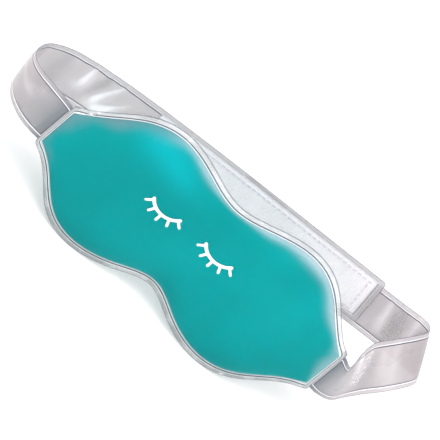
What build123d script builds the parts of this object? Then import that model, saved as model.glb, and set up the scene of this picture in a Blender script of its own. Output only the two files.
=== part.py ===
"""Gel eye pillow with a hook-and-loop head strap: a welded gel pouch and two clear straps.

Frame: +X to the wearer's left as seen from the front, +Z up the face, the front looks along -Y.
The origin is in the middle of the flat rest on the pouch's back, which lies on the face.
"""
import math
import os

from build123d import *

os.makedirs("parts", exist_ok=True)

# ---- driving dimensions, mm -------------------------------------------------------------
FILM = 0.5                 # thickness of each pouch film
BACK_CROWN = 3.0           # how far the back film stands behind the weld plane
FRONT_CROWN = 9.5          # how far the front film stands in front of the weld plane
FLANGE = 4.3               # width of the welded rim round the gel pocket
POCKET_END = 96.0          # half length of the gel pocket
ROOT_X = 98.2              # where the pouch ends and a strap's weld begins
GEL_CLEARANCE = 0.1        # between the gel and each film

STRAP_WIDTH = 30.8
STRAP_FILM = 0.4           # thickness of each strap film
STRAP_AIR = 0.1            # between a strap's two films
HINGE_X = ROOT_X + 0.7     # a strap folds at this weld line
STRAP_START = HINGE_X + 0.4   # the strap's own end at the weld line
END_MARGIN = 3.6           # from a tape's end to its strap's free end

TAPE_WIDTH = 25.4
TAPE = 0.8                 # thickness of the loop tape and of the hook tape
TAPE_GLUE = 0.03           # between a tape and the film that it is sewn to
LOOP_LENGTH = 146.0
HOOK_LENGTH = 76.0
STITCH = 2.2               # length of one stitch
STITCH_PITCH = 3.4
STITCH_INSET = 2.4         # from the tape's edge to its seam
THREAD = 0.3

WELD_Y = -(BACK_CROWN + FILM)   # the plane in which the two pouch films are welded

# Outline of the gel pocket, right half, from the nose notch to the end (x, z).
UPPER_EDGE = [(0, 34), (22, 39.5), (46, 45), (67, 37.5), (84, 22), (POCKET_END, 12)]
LOWER_EDGE = [(0, -29.5), (21, -38), (46, -45), (67, -37.5), (84, -21.5), (POCKET_END, -13.5)]

# Each strap as rulings: centre x, depth behind the weld plane, z, then the lean of the
# ruling towards +X and +Y, as a share of the width.
LEFT_STRAP = [
    (-STRAP_START, 0, 0, 0, 0),
    (-111, 3, 0.2, 0, -0.06),
    (-120.5, 10, -0.8, -0.08, -0.2),
    (-125, 20, -2.4, -0.16, -0.28),
    (-124.5, 32, -4, -0.2, -0.22),
    (-117, 44.5, -5.2, -0.18, -0.1),
    (-98, 55.5, -5.6, -0.15, 0),
    (-60, 62, -3.2, -0.13, 0),
    (0, 61, 4, -0.13, 0),
    (60, 57, 11.6, -0.15, 0),
    (100, 54, 16.5, -0.16, 0.02),
]
RIGHT_STRAP = [
    (STRAP_START, 0, 0, 0, 0),
    (104.5, 0.5, -1.6, -0.08, -0.2),
    (109, 5, -1, -0.26, -0.12),
    (112.5, 14, 1.5, -0.38, 0.08),
    (118.5, 25, 4, -0.47, 0.22),
    (130, 40, 7, -0.53, 0.2),
    (140, 53.5, 11.3, -0.53, 0.16),
    (140.7, 58.8, 12.3, -0.48, 0.12),
    (133, 60.6, 12.5, -0.3, 0.06),
    (115, 59, 12, -0.17, 0),
    (90, 58.2, 10.2, -0.15, 0),
    (50, 61, 6.2, -0.13, 0),
    (8, 64, 2.6, -0.13, 0),
]
SECTIONS_PER_SPAN = 4


# ---- the pouch --------------------------------------------------------------------------
def inset_half(edge, inset, end_x):
    """Half an outline edge, moved `inset` mm into the pocket and ended at end_x."""
    moved = []
    for i, (x, z) in enumerate(edge):
        before = edge[i - 1] if i else (-edge[1][0], edge[1][1])
        after = edge[i + 1] if i + 1 < len(edge) else edge[i]
        run_x = after[0] - before[0]
        run_z = after[1] - before[1]
        run = math.hypot(run_x, run_z)
        side = 1 if z > 0 else -1
        moved.append((x + side * inset * run_z / run, z - side * inset * run_x / run))
    last_x, last_z = moved[-1]
    moved[-1] = (end_x, last_z + (end_x - last_x) * run_z / run_x)
    return moved


def pocket_wire(inset, y, end_inset=None):
    """Closed outline of the pocket at depth y, `inset` mm inside the weld line."""
    end_x = POCKET_END - (inset if end_inset is None else end_inset)
    upper = inset_half(UPPER_EDGE, inset, end_x)
    lower = inset_half(LOWER_EDGE, inset, end_x)
    upper_points = [(-x, y, z) for x, z in reversed(upper[1:])] + [(x, y, z) for x, z in upper]
    lower_points = [(x, y, z) for x, z in reversed(lower)] + [(-x, y, z) for x, z in lower[1:]]
    edges = [
        Spline(*upper_points),
        Line(upper_points[-1], lower_points[0]),
        Spline(*lower_points),
        Line(lower_points[-1], upper_points[0]),
    ]
    return Wire(edges)


def crown(levels):
    """Solid through pocket outlines given as (inset, y)."""
    from_front = sorted(levels, key=lambda level: level[1])
    return Solid.make_loft([pocket_wire(inset, y) for inset, y in from_front], ruled=True)


def rim_plate(y_low, y_high):
    """The pouch's whole flat outline, between two depths."""
    face = Face(pocket_wire(-FLANGE, y_low, POCKET_END - ROOT_X))
    return extrude(face, amount=y_high - y_low, dir=(0, 1, 0))


def front_levels(gap):
    """Outlines of the front crown, `gap` mm behind its outer face."""
    return [
        (gap, WELD_Y),
        (1 + gap, WELD_Y - 0.3 * FRONT_CROWN + gap),
        (5 + gap, WELD_Y - 0.7 * FRONT_CROWN + gap),
        (12 + gap, WELD_Y - 0.92 * FRONT_CROWN + gap),
        (22, WELD_Y - FRONT_CROWN + gap),
    ]


def back_levels(gap):
    """Outlines of the back crown, `gap` mm in front of its outer face."""
    return [
        (gap, WELD_Y),
        (2 + gap, WELD_Y + FILM + 0.4 * BACK_CROWN - gap),
        (7 + gap, WELD_Y + FILM + 0.85 * BACK_CROWN - gap),
        (13, WELD_Y + FILM + BACK_CROWN - gap),
    ]


def front_film():
    shell = rim_plate(WELD_Y - FILM, WELD_Y) + crown(front_levels(0))
    return shell - crown(front_levels(FILM))


def back_film():
    shell = rim_plate(WELD_Y, WELD_Y + FILM) + crown(back_levels(0))
    return shell - crown(back_levels(FILM))


def gel_fill():
    gap = FILM + GEL_CLEARANCE
    return crown(front_levels(gap)) + crown(back_levels(gap))


def printed_mark():
    """Two closed eyes drawn in ink: an arc and five lashes each, on the flat of the front."""
    ink = 0.12
    eye_radius = 12.5
    line = 1.9
    lash = 6.0
    middle_x = -8.0
    eye_reach = 18.5
    eye_z = 19.0
    arc_half = 58
    print_y = WELD_Y - FRONT_CROWN
    marks = []
    for eye in (middle_x - eye_reach, middle_x + eye_reach):
        with BuildSketch(Plane.XZ.offset(-print_y)) as sketch:
            with Locations((eye, eye_z)):
                Circle(eye_radius)
                Circle(eye_radius - line, mode=Mode.SUBTRACT)
            cut_z = eye_z - eye_radius * math.cos(math.radians(arc_half))
            with Locations((eye, cut_z + eye_radius * 1.5)):
                Rectangle(4 * eye_radius, 3 * eye_radius, mode=Mode.SUBTRACT)
            for angle in (-48, -24, 0, 24, 48):
                turn = math.radians(angle)
                middle = eye_radius + lash / 2 - line / 2
                place = (eye + middle * math.sin(turn), eye_z - middle * math.cos(turn))
                with Locations(Location((place[0], place[1], 0), (0, 0, angle))):
                    SlotOverall(lash, line * 0.8, rotation=90)
        marks.append(extrude(sketch.sketch, amount=ink))
    return Compound(children=marks)


# ---- the straps -------------------------------------------------------------------------
def curve_value(rows, span, t, column):
    """Catmull-Rom value of one column, at share t of a span between two rulings."""
    last = len(rows) - 1
    p1 = rows[span][column]
    p2 = rows[span + 1][column]
    p0 = rows[span - 1][column] if span else 2 * p1 - p2
    p3 = rows[span + 2][column] if span + 1 < last else 2 * p2 - p1
    return 0.5 * (2 * p1 + (p2 - p0) * t + (2 * p0 - 5 * p1 + 4 * p2 - p3) * t**2
                  + (3 * p1 - p0 - 3 * p2 + p3) * t**3)


def strap_sections(rows):
    """Centre, ruling direction and distance along the strap, at close steps."""
    steps = [(span, i / SECTIONS_PER_SPAN) for span in range(len(rows) - 1)
             for i in range(SECTIONS_PER_SPAN)]
    steps.append((len(rows) - 2, 1.0))
    sections = []
    travelled = 0.0
    for span, t in steps:
        x, depth, z, lean_x, lean_y = [curve_value(rows, span, t, column) for column in range(5)]
        centre = Vector(x, WELD_Y + depth, z)
        ruling = Vector(lean_x, lean_y, math.sqrt(1 - lean_x**2 - lean_y**2))
        if sections:
            travelled += (centre - sections[-1][0]).length
        sections.append((centre, ruling, travelled))
    return sections


def at_distance(sections, distance):
    """Centre and ruling at a distance along the strap."""
    for (c1, r1, d1), (c2, r2, d2) in zip(sections, sections[1:]):
        if d1 <= distance <= d2:
            share = (distance - d1) / (d2 - d1)
            return c1 + (c2 - c1) * share, (r1 + (r2 - r1) * share).normalized()
    return sections[-1][0], sections[-1][1]


def outward_normal(sections, distance, side):
    """Normal of the strap, pointing away from the head; side is -1 left and 1 right."""
    step = 0.5
    before = at_distance(sections, max(distance - step, 0))[0]
    after = at_distance(sections, min(distance + step, sections[-1][2]))[0]
    ruling = at_distance(sections, distance)[1]
    return (after - before).cross(ruling).normalized() * side


def band(sections, side, start, end, half_width, inner, outer):
    """A strip along the strap, between two distances from its middle surface."""
    inside = [d for _, _, d in sections if start + 0.5 < d < end - 0.5]
    wires = []
    for distance in [start] + inside + [end]:
        centre, ruling = at_distance(sections, distance)
        normal = outward_normal(sections, distance, side)
        corners = [
            centre + ruling * half_width + normal * inner,
            centre + ruling * half_width + normal * outer,
            centre - ruling * half_width + normal * outer,
            centre - ruling * half_width + normal * inner,
        ]
        wires.append(Wire.make_polygon(corners, close=True))
    return Solid.make_loft(wires, ruled=True)


def seam(sections, side, start, end, surface):
    """Stitches round a tape, lying on one face of the strap."""
    half = TAPE_WIDTH / 2 - STITCH_INSET
    first = start + STITCH_INSET
    last = end - STITCH_INSET
    places = []
    along = int((last - first) / STITCH_PITCH)
    for i in range(along + 1):
        for height in (-half, half):
            places.append((first + i * STITCH_PITCH, height, True))
    across = int(2 * half / STITCH_PITCH)
    for i in range(1, across):
        for distance in (first, first + along * STITCH_PITCH):
            places.append((distance, -half + i * 2 * half / across, False))
    stitches = []
    for distance, height, lengthwise in places:
        centre, ruling = at_distance(sections, distance)
        normal = outward_normal(sections, distance, side)
        run = ruling.cross(normal)
        origin = centre + ruling * height + normal * surface
        plane = Plane(origin=origin, x_dir=run if lengthwise else ruling, z_dir=normal)
        stitches.append(plane * Box(STITCH, THREAD * 1.4, THREAD))
    return Compound(children=stitches)


def build_strap(name, rows, side, tape_name, tape_side, tape_length):
    """Both films of a strap, its tape and the tape's seam."""
    sections = strap_sections(rows)
    length = sections[-1][2]
    half = STRAP_WIDTH / 2
    near = STRAP_AIR / 2
    far = near + STRAP_FILM
    inner_film = band(sections, side, 0, length, half, -far, -near)
    outer_film = band(sections, side, 0, length, half, near, far)
    tape_near = far + TAPE_GLUE
    tape_far = tape_near + TAPE
    low, high = sorted((tape_side * tape_near, tape_side * tape_far))
    tape_end = length - END_MARGIN
    tape_start = tape_end - tape_length
    tape = band(sections, side, tape_start, tape_end, TAPE_WIDTH / 2, low, high)
    thread_at = -tape_side * (far + TAPE_GLUE + THREAD / 2)
    stitches = seam(sections, side, tape_start, tape_end, thread_at)
    print(name, "length", round(length, 1), "mm")
    return {
        name + "_inner_film": inner_film,
        name + "_outer_film": outer_film,
        tape_name: tape,
        tape_name + "_stitching": stitches,
    }


def main():
    parts = {
        "front_film": front_film(),
        "back_film": back_film(),
        "gel_fill": gel_fill(),
        "printed_mark": printed_mark(),
    }
    parts.update(build_strap("left_strap", LEFT_STRAP, -1, "loop_tape", 1, LOOP_LENGTH))
    parts.update(build_strap("right_strap", RIGHT_STRAP, 1, "hook_tape", -1, HOOK_LENGTH))
    for name, shape in parts.items():
        export_step(shape, "parts/" + name + ".step")


main()
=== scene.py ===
"""Looks of the gel eye mask: a crowned gel pouch, two clear strap films and their tapes.

Lengths in the tables are millimetres in the part's own frame, turned to metres by MM.
"""
import math
import random

import bmesh
import bpy
import numpy as np
from mathutils import Matrix, Vector, noise


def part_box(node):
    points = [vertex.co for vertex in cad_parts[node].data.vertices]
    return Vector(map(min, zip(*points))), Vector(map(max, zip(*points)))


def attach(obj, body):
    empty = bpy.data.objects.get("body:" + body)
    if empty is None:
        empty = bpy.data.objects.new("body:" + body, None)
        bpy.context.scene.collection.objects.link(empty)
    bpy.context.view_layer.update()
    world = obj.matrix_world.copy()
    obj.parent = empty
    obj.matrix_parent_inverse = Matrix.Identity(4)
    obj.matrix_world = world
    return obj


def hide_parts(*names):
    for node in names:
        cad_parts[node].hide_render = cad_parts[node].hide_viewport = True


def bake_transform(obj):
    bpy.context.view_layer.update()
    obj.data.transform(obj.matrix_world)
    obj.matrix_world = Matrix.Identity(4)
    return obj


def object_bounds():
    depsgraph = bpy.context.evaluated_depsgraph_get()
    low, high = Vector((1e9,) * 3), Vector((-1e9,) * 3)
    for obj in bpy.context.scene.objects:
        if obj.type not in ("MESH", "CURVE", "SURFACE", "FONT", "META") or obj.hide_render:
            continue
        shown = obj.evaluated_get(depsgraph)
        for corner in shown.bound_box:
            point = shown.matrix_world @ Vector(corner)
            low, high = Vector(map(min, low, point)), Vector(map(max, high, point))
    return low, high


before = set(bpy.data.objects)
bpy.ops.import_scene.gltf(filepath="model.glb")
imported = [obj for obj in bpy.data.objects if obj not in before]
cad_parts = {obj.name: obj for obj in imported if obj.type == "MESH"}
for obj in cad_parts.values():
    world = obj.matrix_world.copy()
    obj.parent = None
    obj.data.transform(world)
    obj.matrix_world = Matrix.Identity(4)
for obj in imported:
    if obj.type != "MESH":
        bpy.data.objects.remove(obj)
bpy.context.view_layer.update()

MM = 0.001

# ---- sizes taken from the frame ----
front_low, front_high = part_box("front_film")
back_low, back_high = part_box("back_film")
WELD_Y = back_low.y / MM    # the plane in which the two films are welded
ROOT_X = front_high.x / MM  # where the pouch ends and a strap begins
FLOOR_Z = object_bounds()[0][2]

# Heights of the films' pillows, which leave room for the rim's own height and for lumps.
FRONT_HEIGHT = (back_low.y - front_low.y) / MM - 0.9
BACK_HEIGHT = (back_high.y - back_low.y) / MM - 0.5

# ---- the same driving sizes as the model ----
POCKET_END = 96.0           # half the gel pocket's width
FLANGE = 4.3                # width of the welded rim round it
STRAP_HALF = 15.4
STRAP_BORDER = 3.4          # width of a strap's welded border
TAPE_HALF = 12.7
TAPE_NEAR = 0.48            # a tape's faces, from the strap's middle surface
TAPE_FAR = 1.28
LOOP_LENGTH = 146.0
HOOK_LENGTH = 76.0
TAPE_END = 3.6              # from a tape's end to the strap's
STITCH = 2.2
STITCH_PITCH = 3.4
STITCH_INSET = 2.4          # from the seam to the tape's edge

# Half of each edge of the gel pocket, as (x, z); the other half is its mirror image.
UPPER_EDGE = [(0, 34), (22, 39.5), (46, 45), (67, 37.5), (84, 22), (POCKET_END, 12)]
LOWER_EDGE = [(0, -29.5), (21, -38), (46, -45), (67, -37.5), (84, -21.5), (POCKET_END, -13.5)]

# Rulings of each strap: centre x, depth behind the weld plane, z, lean to +X, lean to +Y.
LEFT_STRAP = [
    (-ROOT_X, 0, 0, 0, 0),
    (-111, 3, 0.2, 0, -0.06),
    (-120.5, 10, -0.8, -0.08, -0.2),
    (-125, 20, -2.4, -0.16, -0.28),
    (-124.5, 32, -4, -0.2, -0.22),
    (-117, 44.5, -5.2, -0.18, -0.1),
    (-98, 55.5, -5.6, -0.15, 0),
    (-60, 62, -3.2, -0.13, 0),
    (0, 61, 4, -0.13, 0),
    (60, 57, 11.6, -0.15, 0),
    (100, 54, 16.5, -0.16, 0.02),
]
RIGHT_STRAP = [
    (ROOT_X, 0, 0, 0, 0),
    (104.5, 0.5, -1.6, -0.08, -0.2),
    (109, 5, -1, -0.26, -0.12),
    (112.5, 14, 1.5, -0.38, 0.08),
    (118.5, 25, 4, -0.47, 0.22),
    (130, 40, 7, -0.53, 0.2),
    (140, 53.5, 11.3, -0.53, 0.16),
    (140.7, 58.8, 12.3, -0.48, 0.12),
    (133, 60.6, 12.5, -0.3, 0.06),
    (115, 59, 12, -0.17, 0),
    (90, 58.2, 10.2, -0.15, 0),
    (50, 61, 6.2, -0.13, 0),
    (8, 64, 2.6, -0.13, 0),
]
STRAP_STEPS = 40            # sections between two rulings

# ---- camera ----
VIEW_AZIMUTH = math.radians(-14.9)
VIEW_ELEVATION = math.radians(30.0)
VIEW_ROLL = math.radians(50.1)
VIEW_DISTANCE = 5.0
VIEW_WIDTH = 0.2286         # what the frame takes in at the pouch
AIM_RIGHT = 0.01457         # the middle of the view, from the middle of the pouch
AIM_UP = 0.01458
SENSOR_WIDTH = 36.0


def add_object(name, data):
    obj = bpy.data.objects.new(name, data)
    bpy.context.scene.collection.objects.link(obj)
    return obj


def make_camera():
    """The picture's view: from the front and above, rolled so that the pouch lies slanted."""
    towards = Vector((
        math.sin(VIEW_AZIMUTH) * math.cos(VIEW_ELEVATION),
        -math.cos(VIEW_AZIMUTH) * math.cos(VIEW_ELEVATION),
        math.sin(VIEW_ELEVATION),
    ))
    level_right = Vector((0, 0, 1)).cross(towards).normalized()
    level_up = towards.cross(level_right)
    up = level_up * math.cos(VIEW_ROLL) - level_right * math.sin(VIEW_ROLL)
    right = level_right * math.cos(VIEW_ROLL) + level_up * math.sin(VIEW_ROLL)
    aim = Vector((0, WELD_Y * MM, 0)) + right * AIM_RIGHT + up * AIM_UP
    data = bpy.data.cameras.new("camera")
    data.sensor_width = SENSOR_WIDTH
    data.lens = SENSOR_WIDTH * VIEW_DISTANCE / VIEW_WIDTH
    data.clip_start = 0.05
    data.clip_end = 20.0
    camera = add_object("camera", data)
    turn = Matrix((right, up, towards)).transposed().to_4x4()
    camera.matrix_world = Matrix.Translation(aim + towards * VIEW_DISTANCE) @ turn
    bpy.context.scene.camera = camera


# ---- mesh helpers ----
def smooth_share(value):
    """0 below 0, 1 above 1 and a smooth step between."""
    value = np.clip(value, 0, 1)
    return value * value * (3 - 2 * value)


def mesh_object(name, points_mm, faces, attributes=None):
    """A smooth mesh from millimetre points, with named per-point values."""
    mesh = bpy.data.meshes.new(name)
    mesh.from_pydata((np.asarray(points_mm, float) * MM).tolist(), [], faces)
    for key, values in (attributes or {}).items():
        layer = mesh.attributes.new(key, "FLOAT", "POINT")
        layer.data.foreach_set("value", np.asarray(values, np.float32))
    mesh.polygons.foreach_set("use_smooth", [True] * len(mesh.polygons))
    mesh.update()
    return add_object(name, mesh)


def grid_faces(rows, columns, start=0, flip=False):
    """Quads of a rows x columns grid of points stored row by row."""
    faces = []
    for i in range(rows - 1):
        for j in range(columns - 1):
            a = start + i * columns + j
            quad = (a, a + 1, a + columns + 1, a + columns)
            faces.append(quad[::-1] if flip else quad)
    return faces


def tube_faces(start, sections, sides):
    """Faces of a closed tube, whose sections are rings of points stored one after another."""
    faces = []
    for i in range(sections - 1):
        for j in range(sides):
            a = start + i * sides + j
            b = start + i * sides + (j + 1) % sides
            faces.append((a, b, b + sides, a + sides))
    last = start + (sections - 1) * sides
    faces.append(tuple(start + j for j in reversed(range(sides))))
    faces.append(tuple(last + j for j in range(sides)))
    return faces


def loop_indices(rows, columns):
    """Indices of a grid's border points, once round."""
    ring = [row * columns + columns - 1 for row in range(rows)]
    ring += [(rows - 1) * columns + column for column in range(columns - 2, 0, -1)]
    ring += [row * columns for row in range(rows - 1, -1, -1)]
    ring += list(range(1, columns - 1))
    return ring


def pad_faces(rows, columns):
    """Faces of a closed pad: two grids of points, one after the other, joined at the border."""
    count = rows * columns
    faces = grid_faces(rows, columns) + grid_faces(rows, columns, count, flip=True)
    ring = loop_indices(rows, columns)
    for i, a in enumerate(ring):
        b = ring[(i + 1) % len(ring)]
        faces.append((a, b, b + count, a + count))
    return faces


def outward(obj):
    """Turns every face of a closed mesh outwards."""
    work = bmesh.new()
    work.from_mesh(obj.data)
    bmesh.ops.recalc_face_normals(work, faces=work.faces)
    work.to_mesh(obj.data)
    work.free()
    return obj


# ---- the pouch's outline ----
END_CROWDING = 0.6          # how much closer the grid's columns lie at the pocket's ends
RIM_CROWDING = 0.7          # and its rows at the rim
SLOPE_STEP = 0.4            # over which an edge's slope is measured


def smooth_edge(half):
    """Natural cubic curve z(x) through half an edge and its mirror image."""
    xs = np.array([-x for x, _ in reversed(half[1:])] + [x for x, _ in half], float)
    zs = np.array([z for _, z in reversed(half[1:])] + [z for _, z in half], float)
    step = np.diff(xs)
    count = len(xs)
    matrix = np.eye(count)
    target = np.zeros(count)
    for i in range(1, count - 1):
        matrix[i, i - 1:i + 2] = (step[i - 1], 2 * (step[i - 1] + step[i]), step[i])
        target[i] = 6 * ((zs[i + 1] - zs[i]) / step[i] - (zs[i] - zs[i - 1]) / step[i - 1])
    bend = np.linalg.solve(matrix, target)

    def height(x):
        x = np.asarray(x, float)
        i = np.clip(np.searchsorted(xs, x) - 1, 0, count - 2)
        left = x - xs[i]
        right = xs[i + 1] - x
        h = step[i]
        return ((bend[i] * right**3 + bend[i + 1] * left**3) / (6 * h)
                + (zs[i] / h - bend[i] * h / 6) * right
                + (zs[i + 1] / h - bend[i + 1] * h / 6) * left)

    return height


upper_z = smooth_edge(UPPER_EDGE)
lower_z = smooth_edge(LOWER_EDGE)


def edge_slope(edge, x):
    return (edge(x + SLOPE_STEP) - edge(x - SLOPE_STEP)) / (2 * SLOPE_STEP)


def pocket_grid(columns, rows):
    """Points of the pocket, closer together towards its rim."""
    s = np.linspace(-1, 1, columns)
    x = POCKET_END * ((1 - END_CROWDING) * s + END_CROWDING * np.sin(s * math.pi / 2))
    t = np.linspace(-1, 1, rows)
    t = (1 - RIM_CROWDING) * t + RIM_CROWDING * np.sin(t * math.pi / 2)
    x, t = np.meshgrid(x, t, indexing="ij")
    z = (upper_z(x) + lower_z(x)) / 2 + t * (upper_z(x) - lower_z(x)) / 2
    return x, z, t


def rim_distance(x, z):
    """About how far a point lies inside the weld line."""
    to_up = (upper_z(x) - z) / np.sqrt(1 + edge_slope(upper_z, x)**2)
    to_low = (z - lower_z(x)) / np.sqrt(1 + edge_slope(lower_z, x)**2)
    to_end = POCKET_END - np.abs(x)
    return np.clip(np.minimum(np.minimum(to_up, to_low), to_end), 0, None)


def near(x, z, px, pz, spread):
    """1 at the place (px, pz), fading out over its spread."""
    return np.exp(-((x - px)**2 + (z - pz)**2) / spread**2)


def lumps(x, z, scale, seed):
    """Gentle unevenness between -1 and 1."""
    values = [noise.noise(Vector((a / scale, b / scale, seed))) for a, b in zip(x.flat, z.flat)]
    return np.array(values).reshape(x.shape)


# ---- the pouch's films ----
LOBE_HALF = 45.0            # half the pocket's height at a lobe, where the pillow is fullest
ROUND_ACROSS = (2.6, 0.62)  # powers that round the pillow off towards the edges
ROUND_ALONG = (9, 0.6)      # and towards the straps
NOSE_SLACKNESS = 0.55       # power by which it is lower where the pocket is narrower
LUMP_SPREAD = 26
LUMP_SHARE = 0.35 / 9       # height of the lumps, as a share of the pillow's
LUMP_INSET = 6.0            # from the weld, over which they begin
PUCKER_RADIUS = 46          # turns an angle round the pouch into a length along the weld
PUCKER_HEIGHT = 0.16
PUCKER_REACH = 3.2          # how far in from the weld the puckers run
FRONT_SEED = 1.0
BACK_SEED = 2.0
FILM = 0.32                 # thickness of a pouch film
WELD_HALF_GAP = 0.02        # half the gap between the films in the weld
END_FADE = 1.5              # over which the rim turns into the band at a strap

# Profile of a film across the welded rim: distance from the gel, height off the weld plane.
RIM_PROFILE = [
    (0.0, 0.45), (0.25, 0.28), (0.5, 0.25), (0.8, 0.38), (1.15, 0.5), (1.5, 0.42), (1.9, 0.36),
    (2.4, 0.36), (2.8, 0.40), (3.2, 0.44), (3.7, 0.44), (4.1, 0.34), (FLANGE, 0.05),
]
WELD_HEIGHT = RIM_PROFILE[0][1]
RIM_NARROWING = 0.22        # share by which the welded rim is narrower near the straps
NARROW_FROM = 55.0          # the |x| where it begins to narrow, and over how much it does
NARROW_RUN = 30.0
TURN_FROM = 88.0            # the |x| from which the rim runs over into the strap's width

# Crinkled, whitened spots of the rim, as (x, z, reach): two make up the filling port, one is a nick, and
# the last is a painted glint on the upper rim, crinkled like the others.
SEALS_AND_GLINT = [(-89.8, 19.5, 1.9), (-87.2, 22.6, 1.2), (62.0, -44.5, 1.3), (-45.0, 47.5, 1.2)]
SEAL_HEIGHT = 1.1
SEAL_WRINKLES = 1.9         # wrinkles' noise, per millimetre


def crown(x, z, t, height, seed):
    """How far a film stands off the weld plane: a full pillow, slacker at the nose bridge."""
    across = (1 - np.abs(t)**ROUND_ACROSS[0])**ROUND_ACROSS[1]
    along = (1 - np.abs(x / POCKET_END)**ROUND_ALONG[0])**ROUND_ALONG[1]
    half = (upper_z(x) - lower_z(x)) / 2
    shape = height * across * along * (half / LOBE_HALF)**NOSE_SLACKNESS
    inside = rim_distance(x, z)
    away = 1 - np.exp(-inside / LUMP_INSET)
    shape += LUMP_SHARE * height * away * lumps(x, z, LUMP_SPREAD, seed)
    along_rim = np.arctan2(z, x) * PUCKER_RADIUS
    pucker = np.sin(along_rim * 1.3 + 2 * np.sin(along_rim * 0.31)) * np.exp(-inside / PUCKER_REACH)
    shape += PUCKER_HEIGHT * pucker * (1 - np.exp(-inside)) * (0.5 + lumps(x, z, 18, seed + 5))
    return np.clip(shape, 0, None)


def edge_points(edge, xs, zs, way):
    """Points of an edge as (x, z, outward x, outward z); outward is up if way is 1, down if -1."""
    points = []
    for x, z in zip(xs, zs):
        slope = edge_slope(edge, x)
        run = math.hypot(1, slope) * way
        points.append((x, z, -slope / run, 1 / run))
    return points


def rim_loop(x, z):
    """The pocket grid's border as (x, z, outward x, outward z), in loop_indices' order."""
    loop = edge_points(upper_z, x[:, -1], z[:, -1], 1)
    loop += [(*point, 1.0, 0.0) for point in zip(x[-1, -2:0:-1], z[-1, -2:0:-1])]
    loop += edge_points(lower_z, x[::-1, 0], z[::-1, 0], -1)
    loop += [(*point, -1.0, 0.0) for point in zip(x[0, 1:-1], z[0, 1:-1])]
    return loop


def rim_point(px, pz, nx, nz, out):
    """A point of the welded rim; at the ends the rim runs into the strap's width."""
    end_share = max(0.0, (abs(px) - TURN_FROM) / (POCKET_END - TURN_FROM))
    reach = out / FLANGE
    narrowing = smooth_share(reach) * smooth_share((abs(px) - NARROW_FROM) / NARROW_RUN)
    out *= 1 - RIM_NARROWING * narrowing
    x = px + nx * out
    z = pz + nz * out
    end_x = math.copysign(POCKET_END + (ROOT_X - POCKET_END) * reach, px)
    edge = upper_z(POCKET_END) if pz > 0 else -lower_z(POCKET_END)
    end_z = pz * (1 + reach * (STRAP_HALF / float(edge) - 1))
    blend = end_share**3
    return x + (end_x - x) * blend, z + (end_z - z) * blend


def seal_and_glint_share(x, z):
    """How crinkled the rim is at a point, and how strong its whitening and painted glint: 1 in the middle
    of a spot, 0 away from them.
    """
    return np.max([near(x, z, *seal_and_glint) for seal_and_glint in SEALS_AND_GLINT], axis=0)


def seal_bump(x, z):
    """Height of the wrinkles of the seals."""
    wrinkle = noise.noise(Vector((x * SEAL_WRINKLES, z * SEAL_WRINKLES, 3.0)))
    return SEAL_HEIGHT * seal_and_glint_share(x, z) * (0.45 + wrinkle)


def film_shell(name, side, height, columns, rows, seed):
    """One pouch film, closed: its crown over the gel and its half of the welded rim."""
    x, z, t = pocket_grid(columns, rows)
    inside = rim_distance(x, z)
    rise = crown(x, z, t, height, seed) + WELD_HEIGHT
    under = np.clip(rise - FILM, WELD_HALF_GAP, None)
    points = []
    edge = []
    for level in (rise, under):
        y = WELD_Y + side * level
        points += list(zip(x.ravel(), y.ravel(), z.ravel()))
        edge += list(inside.ravel())
    count = columns * rows
    faces = grid_faces(columns, rows) + grid_faces(columns, rows, count, flip=True)
    loop = rim_loop(x, z)
    total = len(loop)
    for layer, flat in ((0, False), (1, True)):
        previous = [index + layer * count for index in loop_indices(columns, rows)]
        for out, level in RIM_PROFILE[1:]:
            current = []
            for px, pz, nx, nz in loop:
                rx, rz = rim_point(px, pz, nx, nz, out)
                bump = 0 if flat else seal_bump(rx, rz)
                y = WELD_Y + side * (WELD_HALF_GAP if flat else level + bump)
                current.append(len(points))
                points.append((rx, y, rz))
                edge.append(-out)
            for i in range(total):
                j = (i + 1) % total
                quad = (previous[i], previous[j], current[j], current[i])
                faces.append(quad[::-1] if flat else quad)
            previous = current
        if not flat:
            rim_outer = previous
    for i in range(total):
        j = (i + 1) % total
        faces.append((rim_outer[i], rim_outer[j], previous[j], previous[i]))
    x, _, z = np.array(points).T
    end = (np.array(edge) < 0) * smooth_share((np.abs(x) - POCKET_END + END_FADE) / END_FADE)
    facts = {"inside": edge, "seal_and_glint": seal_and_glint_share(x, z), "end": end}
    return outward(mesh_object(name, points, faces, facts))


# ---- the gel ----
GEL_INSET = 0.4             # from the film's outer face to the gel: the film and a small gap
GEL_THINNEST = 0.03         # half the gel's thickness at the weld
GEL_SHRINK_X = 0.9985       # keep the gel's edge clear of the weld
GEL_SHRINK_Z = 0.997
DULL_FROM = 35              # the -x beyond which the thin edge looks dull, and over how much
DULL_RUN = 25

# Where the gel lies thin against the weld, as (x, z, spread, how far in from the weld, share).
THIN_PLACES = [
    (48, 45, 17, 3.2, 0.72), (76, 32, 13, 3.6, 0.62), (95, 4, 10, 6.0, 0.36),
    (22, 38, 10, 1.5, 0.6), (-93, 9, 10, 5.5, 0.75), (-90, -14, 7, 4.0, 0.5),
    (-24, 42, 13, 2.2, 0.6), (-58, 42, 14, 4.0, 0.6), (-78, 28, 9, 5.5, 0.75),
]
THIN_ELSEWHERE = 0.5        # the same depth and share along the rest of the weld
THIN_SHARE = 0.45

# Painted cyan highlights on the gel, mostly under the upper edge, as (x, z, spread, share).
GEL_HIGHLIGHTS = [
    (-58, 37, 9, 0.34), (-48, 36, 9, 0.42), (-38, 33, 8, 0.38), (-28, 30, 8, 0.28), (62, 26, 12, 0.15),
]


def thinness(x, z, inside):
    """How pale the gel is: most at the weld, 0 where it is at its full depth."""
    reach = np.full_like(x, THIN_ELSEWHERE)
    share = np.full_like(x, THIN_SHARE)
    for *place, depth, most in THIN_PLACES:
        reach += (depth - THIN_ELSEWHERE) * near(x, z, *place)
        share += (most - THIN_SHARE) * near(x, z, *place)
    return np.clip(share, 0, 1) * np.exp(-(inside / reach)**1.5)


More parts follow.
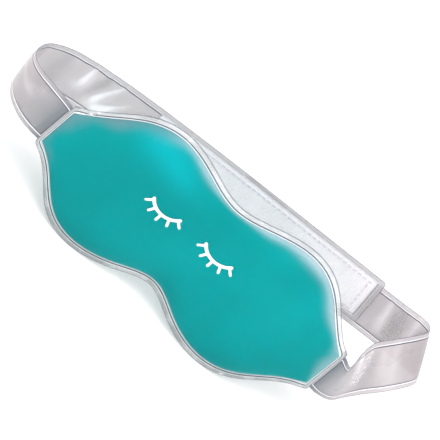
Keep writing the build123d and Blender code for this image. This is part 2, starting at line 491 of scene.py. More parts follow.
def gel_highlight_share(x, z):
    """How strong the painted highlight on the gel is at a point, 0 to 1."""
    return np.clip(sum(share * near(x, z, *place) for *place, share in GEL_HIGHLIGHTS), 0, 1)


def gel_body(name, columns, rows):
    """The gel between the films, a closed crowned pad."""
    x, z, t = pocket_grid(columns, rows)
    points = []
    for side, height, seed in ((-1, FRONT_HEIGHT, FRONT_SEED), (1, BACK_HEIGHT, BACK_SEED)):
        rise = crown(x, z, t, height, seed) + WELD_HEIGHT - GEL_INSET
        y = WELD_Y + side * np.clip(rise, GEL_THINNEST, None)
        points += list(zip((x * GEL_SHRINK_X).ravel(), y.ravel(), (z * GEL_SHRINK_Z).ravel()))
    thin = list(thinness(x, z, rim_distance(x, z)).ravel()) * 2
    dull = list(smooth_share((-x - DULL_FROM) / DULL_RUN).ravel()) * 2
    bulge = list(gel_highlight_share(x, z).ravel()) * 2
    return outward(mesh_object(name, points, pad_faces(columns, rows),
                               {"thin": thin, "bulge": bulge, "dull": dull}))


# ---- the print: two closed eyes ----
EYE_RADIUS = 12.5           # from an eye's centre to the lower edge of its lid
PRINT_X = -8.0              # the middle between the eyes, and from there to each of them
EYE_REACH = 18.5
EYE_Z = 19.0
LID_TURN = 58               # degrees of the lid's arc on each side of its middle
LASH_TURNS = (-48, -24, 0, 24, 48)
LASH = 6.0
LASH_OVERLAP = 0.6          # a lash starts this far inside the lid
INK_WIDTH = 1.9
LASH_WIDTH = INK_WIDTH * 0.8

# Section of an ink stroke: share of its half width, height off the film.
INK_SECTION = [(-1, 0.0), (-0.85, 0.09), (0, 0.12), (0.85, 0.09), (1, 0.0), (0.5, -0.03), (-0.5, -0.03)]


def front_surface(x, z):
    """The y of the front film's outer face."""
    t = (2 * z - upper_z(x) - lower_z(x)) / (upper_z(x) - lower_z(x))
    return WELD_Y - crown(x, z, t, FRONT_HEIGHT, FRONT_SEED) - WELD_HEIGHT


def ink_stroke(path, width, points, faces):
    """A raised stroke of ink with round ends, laid on the film."""
    run = np.gradient(path, axis=0)
    run /= np.linalg.norm(run, axis=1)[:, None]
    away = np.column_stack((-run[:, 1], run[:, 0]))
    length = np.concatenate(([0], np.cumsum(np.linalg.norm(np.diff(path, axis=0), axis=1))))
    to_end = np.minimum(length, length[-1] - length)
    half = width / 2 * np.sqrt(np.clip(1 - np.clip(1 - to_end / (width / 2), 0, 1)**2, 0.02, 1))
    faces += tube_faces(len(points), len(path), len(INK_SECTION))
    share, rise = np.array(INK_SECTION).T
    x = path[:, :1] + (away[:, 0] * half)[:, None] * share
    z = path[:, 1:] + (away[:, 1] * half)[:, None] * share
    y = front_surface(x, z) - rise
    points += list(zip(x.flat, y.flat, z.flat))


def make_print():
    """Two closed eyes, each a lid's arc and five lashes below it."""
    points = []
    faces = []
    for eye in (PRINT_X - EYE_REACH, PRINT_X + EYE_REACH):
        turns = np.radians(np.linspace(-LID_TURN, LID_TURN, 46))
        radius = EYE_RADIUS - INK_WIDTH / 2
        lid = np.column_stack((eye + radius * np.sin(turns), EYE_Z - radius * np.cos(turns)))
        ink_stroke(lid, INK_WIDTH, points, faces)
        reach = np.linspace(EYE_RADIUS - LASH_OVERLAP, EYE_RADIUS + LASH - INK_WIDTH, 16)
        for turn in np.radians(LASH_TURNS):
            lash = np.column_stack((eye + reach * math.sin(turn), EYE_Z - reach * math.cos(turn)))
            ink_stroke(lash, LASH_WIDTH, points, faces)
    return outward(mesh_object("closed_eyes_print", points, faces))


# ---- the straps ----
def catmull(rows, steps):
    """Smooth values through the table's rows."""
    table = np.asarray(rows, float)
    table = np.vstack((2 * table[0] - table[1], table, 2 * table[-1] - table[-2]))
    values = []
    for i in range(1, len(table) - 2):
        p0, p1, p2, p3 = table[i - 1:i + 3]
        for step in range(steps):
            t = step / steps
            values.append(0.5 * (2 * p1 + (p2 - p0) * t + (2 * p0 - 5 * p1 + 4 * p2 - p3) * t**2
                                 + (3 * p1 - p0 - 3 * p2 + p3) * t**3))
    values.append(table[-2])
    return np.array(values)


ROOT_NARROWING = 0.08       # share by which a strap is narrower where it leaves the pouch
ROOT_NARROWING_REACH = 7.0
END_RADIUS = 2.2            # corners of a strap's free end
ROOT_BAR = 0.5              # from a strap's start to the weld that closes its pocket
SKIN = 0.3                  # thickness of one strap film
SKIN_STEP = 1.3             # spacing of the mesh along a strap
POCKET_STEP = 0.13          # how much a film stands up where the weld ends and the pocket begins
POCKET_PUFF = 0.55          # and how much more in the pocket where the film is slack
PUFF_REACH = 3.0            # from the weld, over which it rises
WELD_STEP = 0.6             # width of the step along a weld
EDGE_ROUND = 0.7            # how far in from its edge a film is rounded off
RIPPLE_ALONG = 19           # length of the ripples in the pocket
RIPPLE_ACROSS = 12
STIFF_ROOT = 3.0            # a strap is stiff up to here, and then grows slack over ROOT_RUN
ROOT_RUN = 9.0
TAPE_RUN = 12.0             # over which it grows stiff again before a tape
LEFT_SLACK_END = 134.0      # where it is stiff
RIGHT_SLACK_END = 118.0
ROOT_SHADE_REACH = 13.0     # over which the film is darker from the weld on

# Soft folds: distance along the strap, place across, turn in degrees from the strap's run,
# half length, half width, height off the middle surface, and the strength of a painted highlight along
# the fold.
FOLD_HEIGHT = 5             # the last two as columns
FOLD_PAINTED_LIGHT = 6
LEFT_FOLDS = [
    (92.5, 5, 78, 9, 2.6, 0.9, 1),
    (107, 3, 57, 12, 2.2, 0.8, 0.9),
    (113, -3, 43, 10, 1.8, 0.5, 0.75),
    (99, 6, 70, 10, 2.4, -0.8, 0),
    (84, 2, 80, 11, 4, -0.7, 0),
    (124, 4, 60, 9, 2.6, -0.5, 0),
    (30, 3, 20, 12, 2, 0.35, 0.25),
    (19, 0, 150, 9, 1.6, -0.35, 0),
    (60, 0, 85, 12, 5, 0.6, 0.1),
]
RIGHT_FOLDS = [
    (24, 8, 100, 8, 2.2, 0.5, 0.6),
    (31, 2, 70, 10, 3, -0.6, 0),
    (44, 3, 95, 11, 4.5, 0.5, 0.2),
    (57, 0, 80, 12, 3.5, -0.5, 0),
    (108, 2, 82, 12, 2.6, 0.7, 0.65),
    (90, 5, 95, 11, 3, 0.4, 0.5),
    (99, 0, 88, 12, 4.5, -0.6, 0),
]
FOLD_TAPER = 0.45           # share by which a fold is narrower at one end, wider at the other
SPECKLED_HIGHLIGHT = (28.5, 3, 62, 12, 5.4, 1)        # speckled painted highlight along a fold of the right strap, laid out as a fold

# Broad painted light and shade on the film, as folds of no height: the last value is a painted highlight
# above 0, painted shade below.
LEFT_PAINTED_LIGHT = [
    (112, -9, 10, 14, 7, 0, 0.75),
    (74, -2, 75, 16, 7, 0, -0.30),
    (101, 4, 70, 12, 3, 0, -0.35),
    (8, 0, 90, 20, 8, 0, -0.22),
]
RIGHT_PAINTED_LIGHT = [
    (36, -2, 75, 16, 8, 0, -0.38),
    (22, 11, 20, 6, 2.2, 0, 0.55),
    (54, 0, 90, 18, 5, 0, 0.25),
    (80, -4, 95, 16, 4, 0, -0.45),
    (101, 2, 95, 14, 5, 0, -0.40),
]


class Strap:
    """A strap's middle surface, read by the distance along it."""

    def __init__(self, rows, side, folds, painted_light, slack_end):
        values = catmull(rows, STRAP_STEPS)
        self.side = side
        self.folds = folds
        self.painted_light = painted_light
        self.slack_end = slack_end
        self.centre = np.column_stack((values[:, 0], WELD_Y + values[:, 1], values[:, 2]))
        lean = values[:, 3:5]
        up = np.sqrt(1 - (lean**2).sum(1))
        self.ruling = np.column_stack((lean, up))
        steps = np.linalg.norm(np.diff(self.centre, axis=0), axis=1)
        self.along = np.concatenate(([0], np.cumsum(steps)))
        self.length = self.along[-1]
        run = np.gradient(self.centre, self.along, axis=0)
        normal = np.cross(run, self.ruling) * side
        self.normal = normal / np.linalg.norm(normal, axis=1)[:, None]

    def read(self, table, distance):
        return np.column_stack([np.interp(distance, self.along, table[:, k]) for k in range(3)])

    def slack(self, distance):
        """1 where the strap is free to wrinkle, 0 at the root and where it meets a tape."""
        start = smooth_share((distance - STIFF_ROOT) / ROOT_RUN)
        return start * smooth_share((self.slack_end - distance) / TAPE_RUN)

    def fold_sum(self, folds, distance, across, column):
        """Sum of the folds' values in a column, each fading out from its fold's middle line."""
        total = np.zeros_like(distance)
        for fold in folds:
            turn = math.radians(fold[2])
            dx = distance - fold[0]
            dv = across - fold[1]
            lengthwise = (dx * math.cos(turn) + dv * math.sin(turn)) / fold[3]
            width = fold[4] * (1 - FOLD_TAPER * np.clip(lengthwise, -1, 1))
            crosswise = (dv * math.cos(turn) - dx * math.sin(turn)) / width
            total += fold[column] * np.exp(-lengthwise**4 - crosswise**2)
        return total

    def wave(self, distance, across):
        """How far the whole strap stands off its ruled middle surface."""
        return self.slack(distance) * self.fold_sum(self.folds, distance, across, FOLD_HEIGHT)

    def point(self, distance, across, off):
        """Points at distances along, across and off the middle surface, all arrays."""
        distance = np.asarray(distance, float)
        across = np.asarray(across, float)
        normal = self.read(self.normal, distance)
        normal /= np.linalg.norm(normal, axis=1)[:, None]
        ruling = self.read(self.ruling, distance)
        narrow = 1 - ROOT_NARROWING * np.exp(-distance / ROOT_NARROWING_REACH)
        past = np.clip((distance - self.length) / END_RADIUS + 1, 0, 1)
        corner = END_RADIUS * (1 - np.sqrt(1 - past**2))
        narrow *= 1 - corner / STRAP_HALF
        off = np.asarray(off, float) + self.wave(distance, across)
        return (self.read(self.centre, distance) + ruling * (across * narrow)[:, None]
                + normal * off[:, None])


left_strap = Strap(LEFT_STRAP, -1, LEFT_FOLDS, LEFT_PAINTED_LIGHT, LEFT_SLACK_END)
right_strap = Strap(RIGHT_STRAP, 1, RIGHT_FOLDS, RIGHT_PAINTED_LIGHT, RIGHT_SLACK_END)


def strap_across():
    """Places across a strap, close together at the weld lines and edges."""
    weld = STRAP_HALF - STRAP_BORDER
    half = [0, 1.6, 3.2, 4.8, 6.4, 8, 9.4, 10.6, weld - 0.6, weld - 0.3, weld, weld + 0.3,
            weld + 0.6, weld + 1.0, weld + 1.4, weld + 2.2, STRAP_HALF - EDGE_ROUND,
            STRAP_HALF - EDGE_ROUND / 2, STRAP_HALF]
    return np.array([-v for v in reversed(half[1:])] + half)


def strap_film(name, strap, layer, tape_start):
    """One film of a strap: welded border and slack pocket; layer is -1 inner, 1 outer."""
    end_line = strap.length - STRAP_BORDER
    # Stations along the strap are even, with extra ones at the cross welds and the round end.
    extra = [line + step for line in (ROOT_BAR, end_line) for step in (-0.6, -0.3, 0, 0.3, 0.6, 1)]
    extra += [strap.length - END_RADIUS * share for share in (0.75, 0.5, 0.3, 0.15, 0.05)]
    even = np.linspace(0, strap.length, int(strap.length / SKIN_STEP))
    stations = np.unique(np.concatenate((even, np.clip(extra, 0, None))))
    stations = stations[np.concatenate(([True], np.diff(stations) > 0.04))]
    across = strap_across()
    rows = len(stations)
    columns = len(across)
    d, v = np.meshgrid(stations, across, indexing="ij")
    inside = np.minimum(STRAP_HALF - STRAP_BORDER - np.abs(v),
                        np.minimum(d - ROOT_BAR, end_line - d))
    pocket = smooth_share(inside / WELD_STEP + 0.5)
    full = 1 - np.exp(-np.clip(inside, 0, None) / PUFF_REACH)
    ripple = lumps(d / RIPPLE_ALONG, v / RIPPLE_ACROSS, 1, 7.0 * layer + strap.side)
    slack = strap.slack(d)
    off = SKIN + POCKET_STEP * pocket + slack * full * POCKET_PUFF * (0.6 + 0.5 * ripple)
    edge = np.clip((STRAP_HALF - np.abs(v)) / EDGE_ROUND, 0, 1)
    off = off * (0.25 + 0.75 * np.sqrt(edge))
    points = []
    for level in (off, np.clip(off - SKIN, 0.02, None)):
        points += strap.point(d.ravel(), v.ravel(), level.ravel() * layer).tolist()
    on_tape = smooth_share((d - tape_start) / 0.8) * smooth_share((end_line - d) / 0.8)
    on_tape = on_tape * smooth_share((TAPE_HALF + 0.3 - np.abs(v)) / 0.6)
    # painted highlights along the slack folds, plus the broad painted light and shade
    painted_level = slack * strap.fold_sum(strap.folds, d, v, FOLD_PAINTED_LIGHT)
    painted_level += strap.fold_sum(strap.painted_light, d, v, FOLD_PAINTED_LIGHT)
    facts = {
        "inside": inside,
        "to_edge": np.minimum(STRAP_HALF - np.abs(v), strap.length - d),
        "film_highlight": np.clip(painted_level, 0, 1),
        "film_shade": np.clip(-painted_level, 0, 1),
        "at_end": smooth_share((d - end_line + 2) / 2),
        "on_tape": on_tape,
        "speckled_highlight": strap.fold_sum([SPECKLED_HIGHLIGHT] if strap is right_strap else [], d, v, FOLD_HEIGHT),
        "root": np.exp(-np.clip(d - ROOT_BAR, 0, None) / ROOT_SHADE_REACH),
    }
    return outward(mesh_object(name, points, pad_faces(rows, columns),
                               {key: list(value.ravel()) * 2 for key, value in facts.items()}))


TAPE_STEP = 1.2             # spacing of the mesh along a tape
TAPE_ROUND = 0.97           # share of its half width beyond which a tape's edge is rounded
SELVEDGE_WAVE = 0.08        # height of the waves in its edges, and radians per millimetre
SELVEDGE_TURN = 2.1
NAP_ROOM = 0.14             # how far the woven back stays below the tape's far face
PILE_PITCH = 1.35
PILE_MARGIN = 1.0
PILE_FOOT = 0.16            # depth of the loops' feet below the tape's far face
PILE_YARN = 0.07            # radius of the yarn
HOOK_PITCH = 1.6
HOOK_INSET = 1.9            # from the tape's edge to the first hooks
HOOK_FOOT = 0.62            # depth of a hook's foot, and of the point where it starts to bend
HOOK_BEND = 0.34
HOOK_REACH = 0.26           # half a hook's length along the tape
HOOK_RISE = 0.22
HOOK_WIRE = 0.075
THREAD = 0.24               # radius of the thread
THREAD_RISE = 0.12

# Section of a tape: share of its half width, share of its thickness.
TAPE_SECTION = [
    (-1, 0.25), (-0.995, 0.75), (-TAPE_ROUND, 1), (-0.6, 1), (-0.2, 1), (0.2, 1), (0.6, 1),
    (TAPE_ROUND, 1), (0.995, 0.75), (1, 0.25), (TAPE_ROUND, 0), (0.4, 0), (-0.4, 0), (-TAPE_ROUND, 0),
]


def tape_slab(name, strap, start, end, side):
    """A tape's woven back: rounded edges, slightly wavy selvedges."""
    stations = np.linspace(start, end, int((end - start) / TAPE_STEP))
    thickness = TAPE_FAR - NAP_ROOM - TAPE_NEAR
    points = []
    for station in stations:
        for share, rise in TAPE_SECTION:
            wave = SELVEDGE_WAVE * math.sin(station * SELVEDGE_TURN) * (abs(share) >= TAPE_ROUND)
            off = TAPE_NEAR + thickness * rise
            points.append(strap.point([station], [share * (TAPE_HALF + wave)], [off * side])[0])
    return outward(mesh_object(name, points, tube_faces(0, len(stations), len(TAPE_SECTION))))


def small_tube(points, faces, path, radius, sides):
    """Adds a closed thin tube along a short path, narrower at its ends."""
    run = np.gradient(path, axis=0)
    faces += tube_faces(len(points), len(path), sides)
    for i, centre in enumerate(path):
        direction = run[i] / np.linalg.norm(run[i])
        one = np.cross(direction, (0, 0, 1) if abs(direction[2]) < 0.8 else (1, 0, 0))
        one /= np.linalg.norm(one)
        two = np.cross(direction, one)
        size = radius * (0.55 if i in (0, len(path) - 1) else 1.0)
        for k in range(sides):
            angle = 2 * math.pi * k / sides
            points.append(centre + size * (one * math.cos(angle) + two * math.sin(angle)))


def loop_pile(strap, start, end, side):
    """The loop tape's nap: small slack loops of yarn, leaning every way."""
    rng = random.Random(11)
    points = []
    faces = []
    rows = int((end - start - 2 * PILE_MARGIN) / PILE_PITCH)
    columns = int(2 * (TAPE_HALF - PILE_MARGIN) / PILE_PITCH)
    share = np.linspace(0, math.pi, 5)
    for i in range(rows):
        for j in range(columns):
            d = start + PILE_MARGIN + (i + rng.uniform(0.1, 0.9)) * PILE_PITCH
            v = PILE_MARGIN - TAPE_HALF + (j + rng.uniform(0.1, 0.9)) * PILE_PITCH
            turn = rng.uniform(0, 2 * math.pi)
            reach = rng.uniform(0.5, 0.85)
            rise = rng.uniform(0.16, 0.3)
            across = v + reach * np.cos(share) * math.sin(turn)
            along = d + reach * np.cos(share) * math.cos(turn)
            off = TAPE_FAR - PILE_FOOT + rise * np.sin(share)
            small_tube(points, faces, strap.point(along, across, off * side), PILE_YARN, 3)
    return mesh_object("loop_tape_nap", points, faces)


def hook_field(strap, start, end, side):
    """The hook tape's rows of small stiff hooks, every other row turned the other way."""
    points = []
    faces = []
    rows = int((end - start - 2.4) / HOOK_PITCH)
    columns = int((2 * TAPE_HALF - 3) / HOOK_PITCH)
    turn = np.linspace(0, 1.25 * math.pi, 6)
    off = TAPE_FAR + np.concatenate(([-HOOK_FOOT], HOOK_RISE * np.sin(turn) - HOOK_BEND))
    for i in range(rows):
        for j in range(columns):
            d = start + (i + 1) * HOOK_PITCH
            v = HOOK_INSET - TAPE_HALF + j * HOOK_PITCH
            way = 1 if i % 2 else -1
            along = d + way * HOOK_REACH * np.concatenate(([0], 1 - np.cos(turn)))
            path = strap.point(along, np.full(len(along), v), off * side)
            small_tube(points, faces, path, HOOK_WIRE, 4)
    return mesh_object("hook_tape_hooks", points, faces)


def seam(name, strap, start, end, off):
    """Stitches round a tape: short humps of thread, a touch uneven."""
    rng = random.Random(5)
    half = TAPE_HALF - STITCH_INSET
    first = start + STITCH_INSET
    last = end - STITCH_INSET
    along = int((last - first) / STITCH_PITCH)
    across = int(2 * half / STITCH_PITCH)
    places = [(first + i * STITCH_PITCH, v, True) for i in range(along + 1) for v in (-half, half)]
    places += [(d, -half + i * 2 * half / across, False) for i in range(1, across)
               for d in (first, first + along * STITCH_PITCH)]
    points = []
    faces = []
    share = np.linspace(-1, 1, 7)
    hump = off + math.copysign(THREAD_RISE, off) * (1 - share**2)
    half_stitch = STITCH / 2 * 1.05 * share
    for d, v, lengthwise in places:
        turn = rng.uniform(-0.1, 0.1)
        if lengthwise:
            path = strap.point(d + half_stitch, v + half_stitch * turn, hump)
        else:
            path = strap.point(d + half_stitch * turn, v + half_stitch, hump)
        small_tube(points, faces, path, THREAD, 6)
    return mesh_object(name, points, faces)


# ---- materials ----
class Graph:
    """A short way to write a node material."""

    def __init__(self, name):
        self.material = bpy.data.materials.new(name)
        self.material.use_nodes = True
        self.tree = self.material.node_tree
        self.shader = self.tree.nodes["Principled BSDF"]

    def node(self, kind, **values):
        """A new node, with its properties or its inputs set by name."""
        node = self.tree.nodes.new("ShaderNode" + kind)
        for key, value in values.items():
            if hasattr(node, key):
                setattr(node, key, value)
            else:
                self.feed(node.inputs[key.replace("_", " ")], value)
        return node

    def feed(self, socket, value):
        """Sets a socket to a number or a colour, or links it to another node's output."""
        if isinstance(value, tuple):
            socket.default_value = value + (1.0,)
        elif isinstance(value, (int, float)):
            socket.default_value = value
        else:
            self.tree.links.new(value, socket)

    def place(self):
        """The point's place in the part's frame, in metres."""
        return self.node("TexCoord").outputs["Object"]

    def height(self):
        return self.node("SeparateXYZ", Vector=self.place()).outputs["Z"]

    def noise(self, scale, detail):
        return self.node("TexNoise", Scale=scale, Detail=detail, Vector=self.place()).outputs["Fac"]

    def attribute(self, name):
        return self.node("Attribute", attribute_name=name).outputs["Fac"]

    def facing(self, blend):
        """1 where the surface is seen edge on, 0 where it faces the camera."""
        return self.node("LayerWeight", Blend=blend).outputs["Facing"]

    def span(self, value, low, high, to_low=0.0, to_high=1.0):
        """Turns low to high into to_low to to_high, with soft ends and no further."""
        node = self.node("MapRange", clamp=True, interpolation_type="SMOOTHSTEP", Value=value,
                         From_Min=low, From_Max=high, To_Min=to_low, To_Max=to_high)
        return node.outputs["Result"]

    def math(self, operation, a, b):
        node = self.node("Math", operation=operation)
        for socket, value in zip(node.inputs, (a, b)):
            self.feed(socket, value)
        return node.outputs[0]

    def times(self, a, b):
        return self.math("MULTIPLY", a, b)

    def mix(self, share, a, b):
        """A colour between a, at share 0, and b, at share 1."""
        node = self.node("Mix", data_type="RGBA")
        for socket, value in ((0, share), (6, a), (7, b)):
            self.feed(node.inputs[socket], value)
        return node.outputs[2]

    def line(self, value, place, half, soft):
        """A thin line where value is near place, fading out between half and soft from it."""
        away = self.math("ABSOLUTE", self.math("SUBTRACT", value, place), 0.0)
        return self.span(away, half, soft, 1.0, 0.0)

    def set(self, **values):
        """Sets or links the shader's inputs by name."""
        for key, value in values.items():
            self.feed(self.shader.inputs[key.replace("_", " ")], value)

    def bump(self, height, strength, distance):
        node = self.node("Bump", Height=height, Strength=strength, Distance=distance)
        self.set(Normal=node.outputs["Normal"])


def gel_material():
    """Turquoise gel: deep in the middle, with a painted cyan highlight under the upper edge, grey-white
    where it thins.
    """
    g = Graph("gel_turquoise")
    grain = g.noise(1900, 2)
    cloud = g.noise(26, 3)
    deep = g.mix(g.span(cloud, 0.35, 0.68), (0.0, 0.236, 0.240), (0.0, 0.284, 0.293))
    deep = g.mix(g.span(grain, 0.3, 0.7, 0.0, 0.35), deep, (0.0, 0.17, 0.18))
    # painted highlight: brighter cyan mixed into the gel's colour
    deep = g.mix(g.attribute("bulge"), deep, (0.0, 0.40, 0.47))
    speckle = g.times(g.attribute("thin"), g.span(grain, 0.25, 0.75, 0.7, 1.3))
    edge = g.mix(g.attribute("dull"), (0.56, 0.60, 0.68), (0.16, 0.23, 0.27))
    pale = g.mix(speckle, deep, edge)
    g.set(Base_Color=pale, Roughness=0.55, Subsurface_Weight=0.10, Subsurface_Scale=0.003,
          IOR=1.36, Specular_IOR_Level=0.08)
    g.shader.inputs["Subsurface Radius"].default_value = (0.2, 1.0, 0.9)
    g.bump(grain, 0.15, 0.0004)
    return g.material


def pouch_film_material():
    """Clear soft film over the gel; thin weld lines with a painted highlight line beside them, a glint
    line, and a band along the rim with painted shade towards the bottom.
    """
    g = Graph("pouch_film")
    inside = g.attribute("inside")
    seal_and_glint = g.attribute("seal_and_glint")
    rim = g.span(inside, -0.3, 0.1, 1.0, 0.0)
    # painted highlight line beside the weld
    weld_highlight = g.line(inside, -0.42, 0.08, 0.32)
    dark_line = g.line(inside, -0.98, 0.17, 0.42)
    glint_line = g.line(inside, -1.7, 0.1, 0.4)
    last_line = g.line(inside, 0.2 - FLANGE, 0.15, 0.5)
    flash = g.span(g.noise(90, 2), 0.42, 0.60)
    # painted shade: the rim's band is darker and denser towards the bottom
    low = g.span(g.height(), -0.010, 0.014, 1.0, 0.0)
    band = g.mix(flash, (0.55, 0.57, 0.58), (0.76, 0.77, 0.79))
    band = g.mix(low, band, g.mix(flash, (0.33, 0.345, 0.35), (0.52, 0.53, 0.54)))
    band = g.mix(g.attribute("end"), band, (0.40, 0.41, 0.42))
    colour = g.mix(rim, (0.0, 0.42, 0.43), band)
    colour = g.mix(g.times(glint_line, 0.7), colour, (0.92, 0.94, 0.96))
    colour = g.mix(last_line, colour, (0.16, 0.19, 0.21))
    colour = g.mix(weld_highlight, colour, (0.97, 0.95, 0.98))
    colour = g.mix(dark_line, colour, (0.02, 0.055, 0.075))
    # whitish crinkled film at the seals and the nick, and a painted glint at the last spot
    crinkle = g.span(g.noise(1300, 1), 0.42, 0.56, 0.2, 1.0)
    seal_and_glint = g.times(seal_and_glint, crinkle)
    colour = g.mix(g.times(seal_and_glint, 0.9), colour, (0.95, 0.96, 0.97))
    solid = g.span(g.facing(0.35), 0.3, 1.0, 0.03, 0.16)
    lower_rim_shade = g.times(rim, low)
    for share, weight in ((rim, 0.20), (lower_rim_shade, 0.38), (g.attribute("end"), 0.42),
                          (weld_highlight, 0.72), (dark_line, 0.92), (glint_line, 0.35),
                          (last_line, 0.38), (seal_and_glint, 0.8)):
        solid = g.math("MAXIMUM", solid, g.times(share, weight))
    g.set(Base_Color=colour, Roughness=g.span(g.noise(650, 2), 0.3, 0.7, 0.24, 0.34), IOR=1.53,
          Alpha=solid)
    g.bump(g.noise(1100, 2), 0.08, 0.0003)
    return g.material


def strap_film_material():
    """Clear vinyl with a lilac-grey cast: cloudy pocket, thin weld lines with a painted highlight line
    beside them, painted highlights along the folds and on a speckled patch, broad painted light and
    shade, and painted shade near the root.
    """
    g = Graph("strap_film")
    inside = g.attribute("inside")
    border = g.span(inside, -0.25, 0.1, 1.0, 0.0)
    root = g.attribute("root")
    # speckled painted highlight on the right strap's fold
    speckle = g.span(g.noise(1500, 1), 0.52, 0.62)
    speckled_highlight = g.times(g.attribute("speckled_highlight"), g.math("ADD", 0.2, speckle))
    speckled_highlight = g.span(speckled_highlight, 0.3, 0.75, 0.0, 0.95)
    film_highlight = g.attribute("film_highlight")
    # painted highlights: whiter, denser film along the folds and on the speckled patch
    white = g.math("MAXIMUM", film_highlight, speckled_highlight)
    on_tape = g.attribute("on_tape")
    dark_line = g.line(inside, 0.0, 0.12, 0.42)
    # painted highlight line beside the weld
    weld_highlight = g.line(inside, -0.62, 0.12, 0.45)
    edge_line = g.line(g.attribute("to_edge"), 0.15, 0.1, 0.5)
    cloud = g.span(g.noise(14, 2), 0.34, 0.66)
    line_share = g.span(g.attribute("at_end"), 0.0, 1.0, 1.0, 0.35)
    dark_line = g.times(dark_line, line_share)
    weld_highlight = g.times(weld_highlight, line_share)
    colour = g.mix(cloud, (0.51, 0.462, 0.48), (0.66, 0.605, 0.625))
    # painted shade: darker film where the broad painted light goes below 0
    colour = g.mix(g.attribute("film_shade"), colour, (0.16, 0.15, 0.165))
    colour = g.mix(g.times(border, 0.85), colour, (0.62, 0.58, 0.585))
    # painted shade, with a bluish cast, on the film near the pouch
    colour = g.mix(g.times(root, 0.9), colour, (0.10, 0.14, 0.165))
    colour = g.mix(white, colour, (1.0, 0.955, 0.985))
    colour = g.mix(weld_highlight, colour, (0.96, 0.95, 1.0))
    colour = g.mix(dark_line, colour, (0.09, 0.075, 0.10))
    colour = g.mix(g.times(edge_line, 0.9), colour, (0.30, 0.25, 0.33))
    colour = g.mix(g.times(on_tape, 0.9), colour, (0.95, 0.91, 0.97))
    solid = g.span(g.facing(0.45), 0.1, 1.0, 0.42, 0.62)
    solid = g.times(solid, g.span(border, 0.0, 1.0, 1.0, 0.92))
    for share, weight in ((film_highlight, 0.97), (speckled_highlight, 0.68), (weld_highlight, 0.65),
                          (dark_line, 0.7), (root, 0.72)):
        solid = g.math("MAXIMUM", solid, g.times(share, weight))
    solid = g.times(solid, g.span(on_tape, 0.0, 1.0, 1.0, 0.08))
    g.set(Base_Color=colour, Roughness=g.span(g.noise(40, 1), 0.3, 0.7, 0.27, 0.31), IOR=1.54,
          Alpha=solid)
    g.bump(g.noise(150, 1), 0.05, 0.0003)
    return g.material


TAPE_TINTS = {"loop_tape": (0.99, 0.93, 0.955), "hook_tape": (0.76, 0.72, 0.745)}
RIB_SCALE = 230


def tape_material(name, tint):
    """White nylon tape: fine crosswise ribs, soft unevenness and a little sheen."""
    g = Graph(name)
    coarse = g.noise(75, 3)
    grain = g.noise(1000, 2)
    ribs = g.node("TexWave", wave_type="BANDS", bands_direction="X", Scale=RIB_SCALE,
                  Distortion=2.5, Vector=g.place())
    rib = g.span(ribs.outputs["Fac"], 0.1, 0.9)
    colour = g.mix(g.span(coarse, 0.35, 0.65), tuple(c * 0.94 for c in tint), tint)
    colour = g.mix(g.span(grain, 0.35, 0.65, 0.0, 0.3), colour, tuple(c * 0.82 for c in tint))
    colour = g.mix(g.times(rib, 0.3), colour, tuple(c * 0.72 for c in tint))
    g.set(Base_Color=colour, Roughness=0.85, Sheen_Weight=0.35, Sheen_Roughness=0.5, IOR=1.45)
    g.bump(g.math("ADD", rib, grain), 0.25, 0.0003)
    return g.material


def thread_material():
    """Grey-lilac sewing thread with a fine twist."""
    g = Graph("seam_thread")
    twist = g.noise(2200, 2)
    g.set(Base_Color=g.mix(twist, (0.46, 0.45, 0.54), (0.66, 0.65, 0.72)), Roughness=0.6,
          Sheen_Weight=0.2, IOR=1.5)
    g.bump(twist, 0.3, 0.0002)
    return g.material


def ink_material():
    """Opaque white screen-printing ink with a faint stipple."""
    g = Graph("white_ink")
    spots = g.noise(1400, 2)
    g.set(Base_Color=g.mix(g.span(spots, 0.3, 0.7), (0.90, 0.93, 0.93), (0.97, 0.98, 0.98)),
          Roughness=0.42, IOR=1.5)
    g.bump(spots, 0.1, 0.0002)
    return g.material


def nap_material():
    """The loop tape's brushed nylon yarn, a touch greyer than its back."""
    g = Graph("loop_nylon")
    g.set(Base_Color=g.mix(g.noise(260, 2), (0.52, 0.50, 0.525), (0.70, 0.67, 0.69)),
          Roughness=0.8, Sheen_Weight=0.3, IOR=1.5)
    return g.material


def hook_material():
    """The hook tape's stiff, slightly glossy nylon hooks."""
    g = Graph("hook_nylon")
    g.set(Base_Color=g.mix(g.noise(300, 2), (0.58, 0.57, 0.61), (0.74, 0.73, 0.76)),
          Roughness=0.4, IOR=1.52)
    return g.material


def finish_piece(piece, material, body, slot, *nodes):
    """Gives a piece its material, its body and the nodes it stands for; slot is not used."""
    piece.data.materials.append(material)
    if nodes:
        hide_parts(*nodes)
    if body:
        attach(piece, body)


# ---- building ----
def build_pouch():
    """The two films, the gel between them and the print on the front."""
    film = pouch_film_material()
    front = film_shell("pouch_front_film", -1, FRONT_HEIGHT, 250, 90, FRONT_SEED)
    finish_piece(front, film, "pouch", "film", "front_film")
    back = film_shell("pouch_back_film", 1, BACK_HEIGHT, 200, 70, BACK_SEED)
    finish_piece(back, film, "pouch", "film", "back_film")
    gel = gel_body("gel_pad", 200, 76)
    finish_piece(gel, gel_material(), "pouch", "gel", "gel_fill")
    finish_piece(make_print(), ink_material(), "pouch", "ink", "printed_mark")


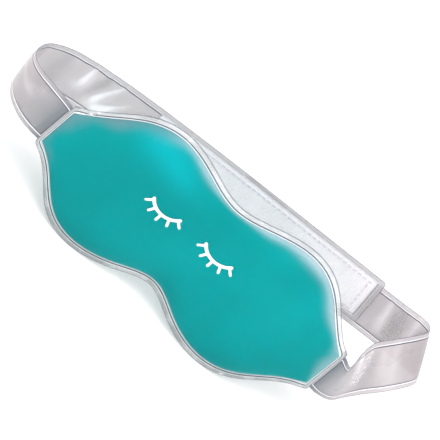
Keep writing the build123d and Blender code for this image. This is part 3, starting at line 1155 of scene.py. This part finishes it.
def build_strap(strap, name, film, tape_name, tape_length, tape_side, pile, pile_material):
    """Both films, the tape with its nap or hooks, and the seam of one strap."""
    end = strap.length - TAPE_END
    start = end - tape_length
    for label, layer in (("inner", -1), ("outer", 1)):
        piece = strap_film(f"{name}_{label}_skin", strap, layer, start)
        finish_piece(piece, film, None, "strap_film", f"{name}_{label}_film")
        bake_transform(piece)
    cloth = tape_material(tape_name + "_cloth", TAPE_TINTS[tape_name])
    slab = tape_slab(tape_name + "_backing", strap, start, end, tape_side)
    finish_piece(slab, cloth, name, "tape", tape_name)
    finish_piece(pile(strap, start, end, tape_side), pile_material(), name, "tape")
    stitches = seam(tape_name + "_seam", strap, start, end, -tape_side * 0.5)
    finish_piece(stitches, thread_material(), name, "thread", tape_name + "_stitching")


def build_straps():
    film = strap_film_material()
    build_strap(left_strap, "left_strap", film, "loop_tape", LOOP_LENGTH, 1, loop_pile, nap_material)
    build_strap(right_strap, "right_strap", film, "hook_tape", HOOK_LENGTH, -1, hook_field, hook_material)


# ---- stage ----
SKY_STRENGTH = 0.98
FLOOR_HALF = 6000.0         # half the floor's side, in millimetres
FLOOR_GAP = 0.0002          # in metres, so that the floor and the pouch's edge don't touch


def area_light(name, place, size, power):
    """A soft box that faces the middle of the part."""
    data = bpy.data.lights.new(name, "AREA")
    data.shape = "RECTANGLE"
    data.size, data.size_y = size
    data.energy = power
    light = add_object(name, data)
    light.location = place
    light.rotation_euler = (-Vector(place)).to_track_quat("-Z", "Y").to_euler()


def build_stage():
    """A white floor, a bright even sky and three soft boxes."""
    scene = bpy.context.scene
    world = bpy.data.worlds.new("studio")
    world.use_nodes = True
    sky = world.node_tree.nodes["Background"]
    sky.inputs["Color"].default_value = (1, 1, 1, 1)
    sky.inputs["Strength"].default_value = SKY_STRENGTH
    scene.world = world
    scene.view_settings.view_transform = "Standard"
    scene.cycles.transparent_max_bounces = 32
    corners = [(a * FLOOR_HALF, b * FLOOR_HALF, 0) for a, b in ((-1, -1), (1, -1), (1, 1), (-1, 1))]
    floor = mesh_object("floor", corners, [(0, 1, 2, 3)])
    floor.location.z = FLOOR_Z - FLOOR_GAP
    paper = Graph("white_paper")
    paper.set(Base_Color=paper.mix(paper.noise(3, 2), (0.975, 0.975, 0.975), (0.99, 0.99, 0.99)),
              Roughness=0.9)
    floor.data.materials.append(paper.material)
    area_light("key", (-0.36, -1.08, 1.35), (0.9, 0.9), 17.0)
    area_light("fill", (0.6, -0.75, 1.2), (1.0, 0.8), 5.0)
    area_light("rim", (-0.3, 1.1, 0.8), (1.2, 0.5), 1.5)


make_camera()
build_pouch()
build_straps()
build_stage()
